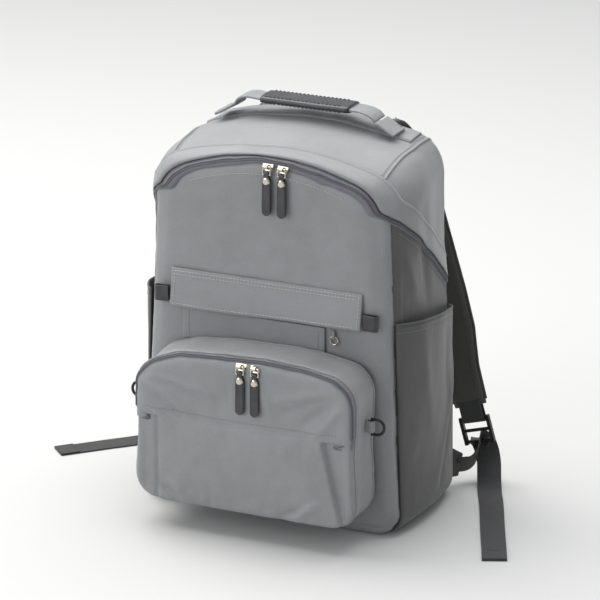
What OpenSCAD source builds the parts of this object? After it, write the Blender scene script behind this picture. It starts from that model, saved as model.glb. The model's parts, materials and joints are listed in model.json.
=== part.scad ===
// Daypack with a hanging pouch. The pack stands on its bottom panel: +X is the wearer's left seen from the
// front of the pack, -Y is the front with the pouch, +Y is the back with the shoulder straps.
// The origin is the middle of the bottom panel, on the ground.

/* [Body] */
// Width of the pack at its base
body_w = 280; // [260:5:300]
// Depth of the pack at its base
body_d = 158; // [150:2:166]
// Height of the body at the back, without the handle
body_h = 398; // [390:2:406]
// Height of the front panel at the top of the zip arch
front_h = 378; // [370:2:382]
// Thickness of a fabric panel with its lining
wall = 2.4; // [2:0.2:3]

/* [Zips] */
// Radius of the zip arch on the front
arch_r = 240; // [230:5:250]
// Length of a leather zip pull
pull_len = 42; // [38:2:50]
// Width of a leather zip pull
pull_w = 9.5; // [8:0.5:10]

/* [Pouch] */
// Width of the pouch
pouch_w = 240; // [220:5:245]
// Height of the pouch
pouch_h = 162; // [154:2:164]
// Depth of the pouch
pouch_d = 56; // [50:2:60]
// Gap between the pouch and the ground
pouch_lift = 27; // [22:1:30]

/* [Harness] */
// Width of the webbing
web_w = 25; // [22:1:25]
// Width of a shoulder strap at its middle
strap_w = 60; // [54:2:62]
// Thickness of a shoulder strap
strap_t = 9; // [7:1:10]

/* [Hidden] */

front_y = -body_d / 2;
back_y = body_d / 2;
// The back leans forward by this share of its height.
back_lean = 0.05;
arc_steps = 5;
fabric = "#808285";
fabric_dark = "#6c6e6f";
leather = "#3a3940";
metal = "#c9c7c0";
black_web = "#2c2c2f";

// ---- body shape: outlines in XZ, lofted from front to back ----
function mix(a, b, t) = a + (b - a) * t;
function arc(cx, cz, r, a0, a1, n) = [for (i = [0:n]) let (a = mix(a0, a1, i / n))
    [cx + r * sin(a), cz + r * cos(a)]];

// Half outline from the bottom centre up the +X side to the top centre.
// Angles run from straight up (0) through sideways (90) to straight down (180).
function half_outline(half_w, foot_r, top_z, top_r, shoulder_r, turn) =
    let (c1 = top_z - top_r,
         c2x = sin(turn) * (top_r - shoulder_r),
         c2z = c1 + cos(turn) * (top_r - shoulder_r))
    concat([[0, 0], [half_w / 2, 0]],
        arc(half_w - foot_r, foot_r, foot_r, 180, 90, arc_steps),
        [[mix(half_w, c2x + shoulder_r, 0.5), mix(foot_r, c2z, 0.5)]],
        arc(c2x, c2z, shoulder_r, 88, turn, arc_steps),
        arc(0, c1, top_r, turn * 0.66, 0, 2));

// Shape of the outline at share v of the depth, 0 at the front and 1 at the back.
function outline_at(v) = let (e = 1 - pow(1 - v, 2))
    half_outline(mix(140, 141, v) / 280 * body_w, mix(24, 20, v), mix(front_h, body_h, e),
        mix(arch_r, 520, e), mix(42, 38, e), mix(22, 11.5, e));

function closed(half) = concat(half, [for (i = [len(half) - 2:-1:1]) [-half[i][0], half[i][1]]]);

// Rounds the front and back edges: the outline shrinks by this much near the two faces.
function edge_inset(d, r) = d >= r ? 0 : r - sqrt(r * r - (r - d) * (r - d));
function depth_stations(depth) = [0, 2, 6, 14, 0.35 * depth, 0.6 * depth, depth - 16, depth - 6, depth - 1.5, depth];

// One ring of the body at depth d from the front face, moved in by grow (negative) or out (positive).
function body_ring(d, grow) =
    let (v = d / body_d,
         r = 14,
         inset = max(edge_inset(d, r), edge_inset(body_d - d, r + 4)),
         bulge = 3 * sin(180 * v),
         half = outline_at(v),
         mid_z = 190,
         side = 1 + (grow + bulge - inset) / 140,
         up = 1 + (grow - inset) / 190)
    [for (p = closed(half)) let (z = mid_z + (p[1] - mid_z) * up)
        [p[0] * side, mix(front_y - grow, back_y + grow, v) - back_lean * z * v, z]];

// A closed solid through convex rings of points, one convex slice between each two rings.
module loft(rings) for (k = [0:len(rings) - 2]) let (p = concat(rings[k], rings[k + 1]))
    hull() polyhedron(points = p, faces = [[for (i = [0:len(p) - 1]) i]]);

module body_solid(grow = 0) loft([for (d = depth_stations(body_d)) body_ring(d, grow)]);
module body_shell() difference() {
    body_solid(0);
    body_solid(-wall);
}

// A prism along X over a polygon in YZ.
module along_x(points, half = 200) rotate([90, 0, 90]) linear_extrude(2 * half, center = true) polygon(points);

// ---- the main zip runs up the front edge and slants down the sides ----
zip_y = front_y + 6;
zip_turn_z = 337;
zip_end_y = 76;
zip_end_z = 218;
slant = atan2(zip_turn_z - zip_end_z, zip_end_y - zip_y);
// A line beside the zip, at distance s towards the top panel.
function zip_line(s) = [
    [zip_y + s, 520],
    [zip_y + s, zip_turn_z + s * tan((90 - slant) / 2)],
    [zip_end_y + 60 + s * sin(slant), zip_end_z - 60 * tan(slant) + s * cos(slant)]];
module beside_zip(s0, s1) along_x(concat(zip_line(s0), [for (i = [2:-1:0]) zip_line(s1)[i]]));
module above_zip(s) along_x(concat(zip_line(s), [[zip_end_y + 200, 0], [zip_end_y + 200, 520]]));
module behind(gap) along_x([[back_y - gap, -10], [back_y + 90, -10], [back_y + 90, 520],
    [back_y - gap - 520 * back_lean, 520]]);
seam_y = front_y + 13;
foot_z = 10;

module front_region() difference() {
    along_x([[front_y - 20, foot_z], [seam_y, foot_z], [seam_y, 520], [front_y - 20, 520]]);
    above_zip(0);
}
module front_panel() color(fabric) intersection() { body_shell(); front_region(); }
module top_panel() color(fabric) difference() {
    intersection() { body_shell(); above_zip(0); }
    behind(9);
}
module side_region(s) difference() {
    translate([s > 0 ? 20 : -220, seam_y, foot_z]) cube([200, 300, 400]);
    above_zip(0);
    behind(9);
}
module side_panel_left() color(fabric_dark) intersection() { body_shell(); side_region(-1); }
module side_panel_right() color(fabric_dark) intersection() { body_shell(); side_region(1); }
module back_panel() color(fabric) difference() {
    intersection() { body_shell(); behind(9); }
    translate([-200, -200, -1]) cube([400, 400, foot_z + 1]);
}
module bottom_panel() color(fabric) intersection() {
    body_shell();
    translate([-200, -200, -1]) cube([400, 400, foot_z + 1]);
}
module skin(from, to) difference() { body_solid(to); body_solid(from); }
module zip_flap() color(fabric) difference() {
    intersection() { skin(0.1, 2.4); beside_zip(1, 21); }
    behind(4);
    translate([-200, -200, -10]) cube([400, 400, 238]);
}
module main_zip() color("#8a8794") difference() {
    intersection() { skin(0.1, 1.2); beside_zip(-5.4, 0.8); }
    behind(4);
    translate([-200, -200, -10]) cube([400, 400, 240]);
}
yoke_y = 18;
module back_yoke() color(fabric) difference() {
    intersection() {
        skin(0.1, 1.6);
        along_x([[yoke_y, 340], [back_y - 6 - 370 * back_lean, 340], [back_y - 6 - 370 * back_lean, 430], [yoke_y, 430]]);
        translate([-113, -100, 300]) cube([226, 300, 200]);
    }
}

// A flat bar through points: widths run along the side direction, thick across it.
function unit(v) = v / norm(v);
function tangent(p, i) = unit(p[min(i + 1, len(p) - 1)] - p[max(i - 1, 0)]);
module strip(path, side, widths, thick) {
    rings = [for (i = [0:len(path) - 1])
        let (t = tangent(path, i),
             s = unit(side - t * (side * t)) * widths[i] / 2,
             n = unit(cross(t, s)) * thick / 2)
        [path[i] - s - n, path[i] + s - n, path[i] + s + n, path[i] - s + n]];
    m = len(rings);
    polyhedron(
        points = [for (r = rings) each r],
        faces = concat([[0, 1, 2, 3]], [[for (i = [3:-1:0]) (m - 1) * 4 + i]],
            [for (k = [0:m - 2], i = [0:3]) let (a = k * 4, b = a + 4, j = (i + 1) % 4)
                each [[a + i, b + i, b + j], [a + i, b + j, a + j]]]),
        convexity = 6);
}
module rod(a, b, r) {
    d = b - a;
    translate(a) rotate([0, acos(d[2] / norm(d)), atan2(d[1], d[0])]) cylinder(h = norm(d), r = r, $fn = 16);
}
module both() {
    children();
    mirror([1, 0, 0]) children();
}
module left() mirror([1, 0, 0]) children();

// ---- piping along the top side seams ----
function piping_point(t) =
    let (ring = body_ring(mix(56, 138, t), 1.9), x = mix(114.8, 118.8, t))
    [x, 0, lookup(x, [for (i = [9:17]) [ring[i][0], ring[i][2]]])];
function on_piping(t) = let (p = piping_point(t)) [p[0], mix(front_y, back_y, mix(56, 138, t) / body_d)
    - back_lean * p[2] * mix(56, 138, t) / body_d, p[2]];
module corner_piping() color("#a9a9a2") both()
    for (k = [0:7]) rod(on_piping(k / 8), mix(on_piping(k / 8), on_piping((k + 1) / 8), 0.98), 1.4);

// ---- side pockets: a fabric wall that stands off the side, open at the top ----
pocket_x = body_w / 2 + 12;
pocket_y0 = seam_y + 1;
pocket_y1 = 62;
pocket_front_z = 222;
pocket_back_z = 204;
module pocket_plan(inset) offset(delta = -inset) polygon([[0, pocket_y0], [pocket_x - 9, pocket_y0],
    [pocket_x, pocket_y0 + 14], [pocket_x, pocket_y1 - 10], [pocket_x - 8, pocket_y1], [0, pocket_y1]]);
module side_pocket() difference() {
    translate([0, 0, 1]) linear_extrude(260) pocket_plan(0);
    translate([0, 0, 5]) linear_extrude(260) pocket_plan(2);
    body_solid(0.2);
    along_x([[-100, pocket_front_z], [100, pocket_back_z - 5], [100, 400], [-100, 400]]);
    translate([pocket_x, 0, 0]) rotate([0, 45, 0]) cube([9, 600, 9], center = true);
}
module side_pocket_right() color(fabric_dark) side_pocket();
module side_pocket_left() color(fabric_dark) left() side_pocket();

// ---- inside: foam behind the back, a sleeve pocket and a board in the base ----
module leaning_sheet(y, t, half, z0, z1) along_x([
    [y - back_lean * z0, z0], [y + t - back_lean * z0, z0],
    [y + t - back_lean * z1, z1], [y - back_lean * z1, z1]], half);
module back_foam() color("#d8d8d0") leaning_sheet(back_y - wall - 9, 8, 100, 30, 350);
module inner_sleeve() color("#77797c") leaning_sheet(back_y - wall - 14, 2, 104, 26, 280);
module base_board() color("#3c3c3e") translate([-110, front_y + 18, wall + 0.4]) cube([220, 118, 2]);

// ---- band across the front with its press studs; its lower edge stands off the panel ----
band_half = 104;
band_top_z = 254;
band_low_z = 216;
band_lift = 6;
band_t = 2.2;
band_slope = atan2(band_lift - 0.4, band_top_z - band_low_z);
module on_band(z) translate([0, front_y - 0.4, band_top_z]) rotate([-band_slope, 0, 0])
    mirror([0, 1, 0]) translate([0, 0, -(band_top_z - z)]) children();
module band_flap() color(fabric) on_band(band_low_z)
    translate([-band_half, 0, 0]) cube([2 * band_half, band_t, band_top_z - band_low_z]);
snap_z = 229;
snap_x = [-60, 0, 60];
module band_snaps() color(metal) for (x = snap_x)
    on_band(snap_z) translate([x, 0, 0]) rotate([90, 0, 0]) cylinder(r = 5, h = 1, $fn = 32);
module panel_studs() color(metal) for (x = snap_x)
    translate([x, front_y - 2.3, snap_z]) rotate([-90, 0, 0]) cylinder(r = 4, h = 0.8, $fn = 32);

// ---- leather loops beside the band ----
loop_x = band_half + 2;
loop_z = 227;
loop_h = 16;
loop_gap = 4.6;
loop_t = 1.4;
module loop_plan(t) {
    square([12, loop_gap + 2 * t]);
    translate([12, loop_gap / 2 + t]) circle(r = loop_gap / 2 + t, $fn = 32);
}
module side_loop() translate([loop_x, front_y - 0.3, loop_z - loop_h / 2]) mirror([0, 1, 0])
    linear_extrude(loop_h) difference() {
        loop_plan(loop_t);
        translate([1.6, loop_t]) square([10.4, loop_gap]);
        translate([12, loop_gap / 2 + loop_t]) circle(r = loop_gap / 2, $fn = 32);
    }
module side_loop_right() color(leather) side_loop();
module side_loop_left() color(leather) left() side_loop();

// ---- carry handle: sewn ends, a fabric strap that tips to and fro, and its leather grip ----
handle_y = 22;
handle_z = 411;
module handle_ends() color(fabric) both() strip(
    [[98, handle_y, 391.5], [90, handle_y, 394.6], [79, handle_y, 401]], [0, 1, 0], [28, 28, 27], 2.4);
module handle_strap() color(fabric) strip(
    [[-77.4, handle_y, 401.9], [-60, handle_y, handle_z - 1], [-50, handle_y, handle_z], [50, handle_y, handle_z],
     [60, handle_y, handle_z - 1], [77.4, handle_y, 401.9]], [0, 1, 0], [25, 25, 25, 25, 25, 25], 2.4);
grip_half = 49;
grip_w = 31;
grip_t = 7;
module handle_grip() color(leather) translate([-grip_half, handle_y, handle_z]) rotate([90, 0, 90])
    linear_extrude(2 * grip_half) difference() {
        hull() for (s = [-1, 1]) translate([s * (grip_w - grip_t) / 2, 0]) circle(r = grip_t / 2, $fn = 32);
        square([25.2, 2.8], center = true);
    }

// ---- shoulder straps, adjusters and webbing ----
strap_path = [[50, 64, 380], [54, 82, 376], [62, 98, 352], [74, 105, 310], [90, 107, 255], [108, 108, 195],
    [126, 109, 135], [140, 110, 92], [144, 110, 80]];
module shoulder_strap() strip(strap_path, [1, 0, 0.28],
    [0.82, 0.86, 0.95, 1, 1, 1, 0.95, 0.7, 0.6] * strap_w, strap_t);
module shoulder_strap_right() color("#4c4a48") shoulder_strap();
module shoulder_strap_left() color("#4c4a48") left() shoulder_strap();

lock_tilt = -16;
lock_at = [148, 110, 66];
bar_r = 1.8;
lock_w = 34;
module at_lock() translate(lock_at) rotate([0, lock_tilt, 0]) children();
// A loop of webbing sewn into the end of the strap holds the adjuster's top bar.
module strap_loop() at_lock() difference() {
    translate([-web_w / 2, -3.9, -3.9]) cube([web_w, 7.8, 16.4]);
    translate([-web_w, -2.4, -2.4]) cube([2 * web_w, 4.8, 6]);
}
module strap_loop_right() color(black_web) strap_loop();
module strap_loop_left() color(black_web) left() strap_loop();
module ladder_lock() at_lock() {
    for (z = [0, -12, -24]) translate([-lock_w / 2 + 2, 0, z]) rotate([0, 90, 0])
        cylinder(r = bar_r, h = lock_w - 4, $fn = 24);
    for (s = [-1, 1]) translate([s * (lock_w / 2 - 1.8) - 1.8, -2.2, -27]) cube([3.6, 4.4, 29.5]);
}
module ladder_lock_right() color("#222224") ladder_lock();
module ladder_lock_left() color("#222224") left() ladder_lock();

wing_path = [[120, 79.4, 26], [131, 84, 23], [141, 90, 21]];
module anchor_wing() strip(wing_path, [0, 0, 1], [44, 34, 25], 2.4);
module anchor_wing_right() color(fabric_dark) anchor_wing();
module anchor_wing_left() color(fabric_dark) left() anchor_wing();
lower_path = [[142.5, 91, 20.8], [147, 95, 21.3], [150, 97.4, 22.8]];
module lower_webbing() strip(lower_path, [0.3, -0.4, 0.86], all(web_w - 1, 3), 1.6);
module lower_webbing_right() color(black_web) lower_webbing();
module lower_webbing_left() color(black_web) left() lower_webbing();
function all(v, n) = [for (i = [1:n]) v];

// The loose ends of the webbing fall from the adjusters and lie on the ground.
tail_t = 1.6;
tail_rest_z = tail_t / 2 + 0.2;
tail_right = [[155, 116.5, 42], [158, 118, 34], [161, 117, 26], [164, 113, 18], [167, 106, 11], [170, 99, 5.5],
    [174, 90, 2.2], [179, 78, tail_rest_z], [186, 63, tail_rest_z], [194, 45, tail_rest_z],
    [203, 24, tail_rest_z], [213, 0, tail_rest_z], [224, -26, tail_rest_z], [236, -54, tail_rest_z],
    [250, -87, tail_rest_z]];
tail_left = [[-155, 116.5, 42], [-157, 119, 34], [-159, 120.5, 26], [-162, 120.5, 18], [-165, 118, 11],
    [-169, 114, 5.5], [-174, 109, 2.2], [-181, 101, tail_rest_z], [-190, 91, tail_rest_z],
    [-200, 80, tail_rest_z], [-212, 67, tail_rest_z], [-226, 52, tail_rest_z], [-242, 36, tail_rest_z],
    [-260, 17, tail_rest_z], [-280, -4, tail_rest_z]];
module webbing_tail_right() color(black_web) strip(tail_right, [0.911, 0.412, 0], all(web_w, 15), tail_t);
module webbing_tail_left() color(black_web) strip(tail_left, [0.73, -0.68, 0], all(web_w, 15), tail_t);

// ---- zip sliders and leather pulls; a slider stands on the surface with its zip along X ----
slider_seat = 2.1;
eye_h = 4.2;
module zip_slider() {
    difference() {
        union() {
            translate([-5.5, -3.5, 0]) cube([11, 7, 1.2]);
            translate([-1.6, 0, 0]) rotate([90, 0, 90]) linear_extrude(3.2) hull() {
                translate([0, eye_h]) circle(r = 2.3, $fn = 32);
                translate([-2.6, 0]) square([5.2, 1]);
            }
        }
        translate([-5, 0, eye_h]) rotate([0, 90, 0]) cylinder(r = 1.3, h = 10, $fn = 32);
    }
}
bail_half = 3.9;
bail_h = 8;
wire_r = 0.8;
module bail() {
    corners = [[-bail_half, 0, 0], [bail_half, 0, 0], [bail_half, 0, -bail_h], [-bail_half, 0, -bail_h]];
    for (i = [0:3]) {
        rod(corners[i], corners[(i + 1) % 4], wire_r);
        translate(corners[i]) sphere(r = wire_r, $fn = 16);
    }
}
pull_t = 3;
rivet_z = -15;
module pull() difference() {
    translate([0, pull_t / 2, 0]) rotate([90, 0, 0]) linear_extrude(pull_t) {
        translate([-2.9, -bail_h - 6]) square([5.8, 8]);
        hull() {
            translate([-pull_w / 2, -bail_h - pull_len + 2]) square([pull_w, pull_len - 6.5]);
            translate([-pull_w / 2 + 2, -bail_h - pull_len]) square([pull_w - 4, 1]);
        }
    }
    translate([-10, 0, -bail_h]) rotate([0, 90, 0]) cylinder(r = wire_r + 0.1, h = 20, $fn = 32);
    translate([0, 10, rivet_z]) rotate([90, 0, 0]) cylinder(r = 1.5, h = 20, $fn = 32);
}
module rivet() {
    translate([0, pull_t / 2, rivet_z]) rotate([90, 0, 0]) cylinder(r = 1.5, h = pull_t, $fn = 32);
    for (s = [0, 1]) mirror([0, s, 0]) translate([0, -pull_t / 2, rivet_z]) rotate([90, 0, 0])
        cylinder(r1 = 3.9, r2 = 2.8, h = s == 0 ? 1.2 : 0.6, $fn = 32);
}

// The wire link that a pull hangs from, and the rivet that closes the folded leather.
module pull_metal() {
    bail();
    rivet();
}

// The main sliders travel on the arch; both stand a little to the right of the middle.
edge_r = 14;
face_turn = 65;
seat_inset = edge_r * (1 - cos(face_turn));
seat_y = front_y + edge_r * (1 - sin(face_turn));
seat_z = 190 + (front_h + 0.3 - 190) * (1 - seat_inset / 190);
travel_r = arch_r * pow(1 - seat_inset / 140, 2) / (1 - seat_inset / 190);
travel_z = seat_z - travel_r;
main_x = [2, 18];
function main_turn(i) = asin(main_x[i] / travel_r);
eye_out = slider_seat + eye_h;
function main_eye(i) = let (r = travel_r + eye_out * cos(face_turn))
    [r * sin(main_turn(i)), seat_y - eye_out * sin(face_turn), travel_z + r * cos(main_turn(i))];
module main_slider(i) color(metal) translate([0, seat_y, travel_z]) rotate([0, main_turn(i), 0])
    translate([0, 0, travel_r]) rotate([face_turn, 0, 0]) translate([0, 0, slider_seat]) zip_slider();
module main_slider_left() main_slider(0);
module main_slider_right() main_slider(1);
module main_bail_left() color(metal) translate(main_eye(0)) pull_metal();
module main_bail_right() color(metal) translate(main_eye(1)) pull_metal();
module main_pull_left() color(leather) translate(main_eye(0)) pull();
module main_pull_right() color(leather) translate(main_eye(1)) pull();

// ---- pouch ----
pouch_back_y = front_y - 3;
pouch_front_y = pouch_back_y - pouch_d;
pouch_top_z = pouch_lift + pouch_h;
pouch_wall = 2;
pouch_edge = 13;
hem_z = pouch_lift + 90;
crown = 4;
function pouch_half(half_w, z0, z1, r) = concat([[0, z0]],
    arc(half_w - 24, z0 + 24, 24, 180, 90, 4), arc(half_w - r, z1 - crown - r, r, 90, 8, 5),
    [[70, z1 - 1.2], [62, z1]]);
function pouch_ring(d, grow) =
    let (front_in = edge_inset(d, pouch_edge),
         back_in = edge_inset(pouch_d - d, 5),
         g = grow - max(front_in, back_in))
    [for (p = closed(pouch_half(pouch_w / 2 + g, pouch_lift - g, pouch_top_z + g, 30 + g / 2)))
        [p[0], mix(pouch_front_y - grow, pouch_back_y + grow, d / pouch_d), p[1]]];
module pouch_solid(grow) loft([for (d = [0, 1.5, 5, 13, 30, pouch_d - 5, pouch_d - 1.5, pouch_d])
    pouch_ring(d, grow)]);
module pouch_shell() difference() {
    pouch_solid(0);
    pouch_solid(-pouch_wall);
}
pouch_seam_y = pouch_front_y + 12;
module slab(y0, y1, z0 = -10, z1 = 500) translate([-200, y0, z0]) cube([400, y1 - y0, z1 - z0]);
module pouch_front() color(fabric) intersection() {
    pouch_shell();
    slab(pouch_front_y - 10, pouch_seam_y);
}
module pouch_gusset() color(fabric_dark) intersection() {
    pouch_shell();
    slab(pouch_seam_y, pouch_back_y - 4);
}
module pouch_back() color(fabric) intersection() {
    pouch_shell();
    slab(pouch_back_y - 4, pouch_back_y + 10);
}
module pouch_skin(from, to) difference() {
    pouch_solid(to);
    pouch_solid(from);
}
module pouch_zip() color("#8a8794") intersection() {
    pouch_skin(0.1, 1.2);
    slab(pouch_front_y + 1, pouch_front_y + 9, hem_z + 3);
}
module pouch_front_pocket() color(fabric) intersection() {
    pouch_skin(0.1, 2.2);
    slab(pouch_front_y - 10, pouch_front_y + 8, 30, hem_z);
}

// The pouch hangs from a panel that folds at the band's lower edge.
fold_z = 214.5;
panel_x0 = -92;
panel_x1 = 64;
module hanging_tab() color(fabric) translate([panel_x0, front_y - 1.5, fold_z + 0.4])
    cube([panel_x1 - panel_x0, 1.4, 25]);
module hanging_panel() color(fabric) translate([panel_x0, front_y - 2.95, pouch_top_z - 7])
    cube([panel_x1 - panel_x0, 1.4, fold_z - pouch_top_z + 7]);

pouch_turn = 65;
pouch_seat_y = pouch_front_y + pouch_edge * (1 - sin(pouch_turn));
pouch_seat_z = pouch_top_z - pouch_edge * (1 - cos(pouch_turn));
pouch_x = [0, 16];
function pouch_eye(i) = [pouch_x[i], pouch_seat_y - eye_out * sin(pouch_turn),
    pouch_seat_z + eye_out * cos(pouch_turn)];
module pouch_slider(i) color(metal) translate([pouch_x[i], pouch_seat_y, pouch_seat_z])
    rotate([pouch_turn, 0, 0]) translate([0, 0, slider_seat]) zip_slider();
module pouch_slider_left() pouch_slider(0);
module pouch_slider_right() pouch_slider(1);
module pouch_bail_left() color(metal) translate(pouch_eye(0)) pull_metal();
module pouch_bail_right() color(metal) translate(pouch_eye(1)) pull_metal();
module pouch_pull_left() color(leather) translate(pouch_eye(0)) pull();
module pouch_pull_right() color(leather) translate(pouch_eye(1)) pull();

// ---- D-rings at the pouch's sides, each in a fabric loop ----
d_x = pouch_w / 2 + 5.2;
d_y = pouch_front_y + 34;
d_z = 128;
d_wire = 1.5;
d_half = 8;
module ring_tab() difference() {
    translate([pouch_w / 2 + 0.2, d_y - 3.2, d_z - 6]) cube([8.2, 6.4, 12]);
    translate([d_x - 2, d_y - 2, d_z - 10]) cube([4, 4, 20]);
}
module d_ring() translate([d_x, d_y, d_z]) {
    rod([0, 0, -d_half], [0, 0, d_half], d_wire);
    for (s = [-1, 1]) {
        rod([0, 0, s * d_half], [5, 0, s * d_half], d_wire);
        translate([0, 0, s * d_half]) sphere(r = d_wire, $fn = 16);
    }
    translate([5, 0, 0]) rotate([90, 0, 0]) rotate([0, 0, -90])
        rotate_extrude(angle = 180, $fn = 48) translate([d_half, 0]) circle(r = d_wire, $fn = 16);
}
module ring_tab_right() color(fabric_dark) ring_tab();
module ring_tab_left() color(fabric_dark) left() ring_tab();
module d_ring_right() color("#2a2a2c") d_ring();
module d_ring_left() color("#2a2a2c") left() d_ring();

// ---- small ring hanging below the band ----
clip_at = [74, front_y - 3, 207];
module clip_tab() color(fabric) translate(clip_at) difference() {
    translate([-1.2, -2, -2]) cube([2.4, 4.8, 8]);
    translate([-10, -1.1, -1.1]) cube([20, 2.2, 2.2]);
}
module clip_ring() color(metal) translate(clip_at - [0, 0, 4.2]) rotate([90, 0, 0])
    rotate_extrude($fn = 48) translate([4.2, 0]) circle(r = 0.8, $fn = 16);

front_panel();
top_panel();
side_panel_left();
side_panel_right();
back_panel();
bottom_panel();
zip_flap();
main_zip();
back_yoke();
corner_piping();
side_pocket_left();
side_pocket_right();
back_foam();
base_board();
inner_sleeve();
side_loop_left();
side_loop_right();
handle_ends();
handle_strap();
handle_grip();
shoulder_strap_left();
shoulder_strap_right();
strap_loop_left();
strap_loop_right();
ladder_lock_left();
ladder_lock_right();
anchor_wing_left();
anchor_wing_right();
lower_webbing_left();
lower_webbing_right();
webbing_tail_left();
webbing_tail_right();
main_slider_left();
main_slider_right();
main_bail_left();
main_bail_right();
main_pull_left();
main_pull_right();
band_flap();
band_snaps();
panel_studs();
pouch_front();
pouch_back();
pouch_gusset();
pouch_zip();
pouch_front_pocket();
hanging_tab();
hanging_panel();
ring_tab_left();
ring_tab_right();
d_ring_left();
d_ring_right();
pouch_slider_left();
pouch_slider_right();
pouch_bail_left();
pouch_bail_right();
pouch_pull_left();
pouch_pull_right();
clip_tab();
clip_ring();
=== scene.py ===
"""Looks for the daypack: fabric panels, pouch, band, handle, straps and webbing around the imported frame."""
import json
import math

import bmesh
import bpy
import numpy as np
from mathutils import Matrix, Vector, noise


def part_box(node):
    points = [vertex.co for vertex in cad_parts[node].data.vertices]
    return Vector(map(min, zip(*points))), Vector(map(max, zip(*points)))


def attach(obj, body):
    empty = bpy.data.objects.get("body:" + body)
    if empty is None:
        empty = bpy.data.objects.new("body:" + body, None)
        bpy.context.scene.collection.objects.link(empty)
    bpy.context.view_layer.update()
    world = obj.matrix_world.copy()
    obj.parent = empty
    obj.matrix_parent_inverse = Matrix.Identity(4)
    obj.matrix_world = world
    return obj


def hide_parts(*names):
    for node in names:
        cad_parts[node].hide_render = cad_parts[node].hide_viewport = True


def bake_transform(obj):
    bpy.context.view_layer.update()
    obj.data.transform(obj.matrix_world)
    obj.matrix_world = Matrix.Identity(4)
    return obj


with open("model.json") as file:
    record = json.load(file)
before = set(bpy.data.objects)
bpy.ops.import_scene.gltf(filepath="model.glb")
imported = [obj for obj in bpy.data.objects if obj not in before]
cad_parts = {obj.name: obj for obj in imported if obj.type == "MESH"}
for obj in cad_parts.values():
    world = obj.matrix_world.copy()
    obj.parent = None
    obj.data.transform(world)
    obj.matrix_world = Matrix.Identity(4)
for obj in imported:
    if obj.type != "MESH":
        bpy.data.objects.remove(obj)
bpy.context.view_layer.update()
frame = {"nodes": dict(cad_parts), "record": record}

MM = 0.001
node_mm = {n: tuple(np.array(c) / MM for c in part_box(n)) for n in frame["nodes"]}

# ---- driving sizes, in millimetres, read from the frame ----
front_y = node_mm["front_panel"][0][1]
back_y = -front_y
body_h = 398.0
front_h = 378.0
front_arch = 240.0
zip_y = front_y + 6
seam_y = front_y + 13
foot_z = 10.0
back_lean = 0.05
zip_turn_z = 337.0
slant = math.atan2(zip_turn_z - 218, 76 - zip_y)
pouch_lo, pouch_hi = node_mm["pouch_gusset"][0], node_mm["pouch_gusset"][1]
pouch_half_w = pouch_hi[0]
pouch_front_y = node_mm["pouch_front"][0][1]
pouch_back_y = node_mm["pouch_back"][1][1]
pouch_lift, pouch_top_z = pouch_lo[2], pouch_hi[2]
pouch_d = pouch_back_y - pouch_front_y
band_lo, band_hi = node_mm["band_flap"]
tail_width = 25.0


# ---- camera, light and floor ----
def make_camera():
    az, el, distance = math.radians(24.55), math.radians(18.91), 3.7265
    back = Vector((math.sin(az) * math.cos(el), -math.cos(az) * math.cos(el), math.sin(el)))
    data = bpy.data.cameras.new("camera")
    data.sensor_width = 36
    data.lens = 221
    cam = bpy.data.objects.new("camera", data)
    bpy.context.scene.collection.objects.link(cam)
    cam.location = Vector((0, 0, 0.209)) + back * distance
    cam.rotation_mode = "QUATERNION"
    cam.rotation_quaternion = (-back).to_track_quat("-Z", "Y")
    bpy.context.scene.camera = cam


def area_light(name, place, target, size, power, colour=(1, 1, 1)):
    data = bpy.data.lights.new(name, "AREA")
    data.shape = "DISK"
    data.size = size
    data.energy = power
    data.color = colour
    lamp = bpy.data.objects.new(name, data)
    bpy.context.scene.collection.objects.link(lamp)
    lamp.location = place
    lamp.rotation_euler = (Vector(target) - Vector(place)).to_track_quat("-Z", "Y").to_euler()


def make_stage():
    world = bpy.data.worlds.new("studio")
    bpy.context.scene.world = world
    world.use_nodes = True
    world.node_tree.nodes["Background"].inputs["Color"].default_value = (0.96, 0.98, 1.0, 1)
    world.node_tree.nodes["Background"].inputs["Strength"].default_value = 0.58
    bpy.context.scene.view_settings.view_transform = "Standard"
    verts = [(-9, -9, 0), (9, -9, 0), (9, 9, 0), (-9, 9, 0)]
    faces = [(0, 1, 2, 3)]
    mesh = bpy.data.meshes.new("floor")
    mesh.from_pydata(verts, [], faces)
    for p in mesh.polygons:
        p.use_smooth = True
    floor = bpy.data.objects.new("floor", mesh)
    bpy.context.scene.collection.objects.link(floor)
    mat = bpy.data.materials.new("floor")
    mat.use_nodes = True
    shader = mat.node_tree.nodes["Principled BSDF"]
    shader.inputs["Base Color"].default_value = (0.56, 0.561, 0.556, 1)
    shader.inputs["Roughness"].default_value = 0.7
    mesh.materials.append(mat)
    area_light("key", (-1.5, 0.3, 2.4), (0, 0, 0.25), 2.4, 70, (1, 0.985, 0.95))
    area_light("front", (-1.6, -2.6, 1.2), (0, 0, 0.2), 2.2, 36, (0.97, 0.985, 1))
    area_light("top", (0.2, 0.6, 2.6), (0, 0, 0.2), 2.0, 40)


make_camera()
make_stage()


# ---- materials ----
def new_material(name, colour, roughness, metallic=0.0):
    mat = bpy.data.materials.new(name)
    mat.use_nodes = True
    shader = mat.node_tree.nodes["Principled BSDF"]
    shader.inputs["Base Color"].default_value = (*colour, 1)
    shader.inputs["Roughness"].default_value = roughness
    shader.inputs["Metallic"].default_value = metallic
    return mat, mat.node_tree, shader


def add(tree, kind, **values):
    node = tree.nodes.new(kind)
    for key, value in values.items():
        if key in node.inputs:
            node.inputs[key].default_value = value
        else:
            setattr(node, key, value)
    return node


def mapped(tree, scale):
    where = add(tree, "ShaderNodeTexCoord")
    mapping = add(tree, "ShaderNodeMapping")
    mapping.inputs["Scale"].default_value = scale
    tree.links.new(where.outputs["Object"], mapping.inputs["Vector"])
    return mapping.outputs["Vector"]


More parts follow.
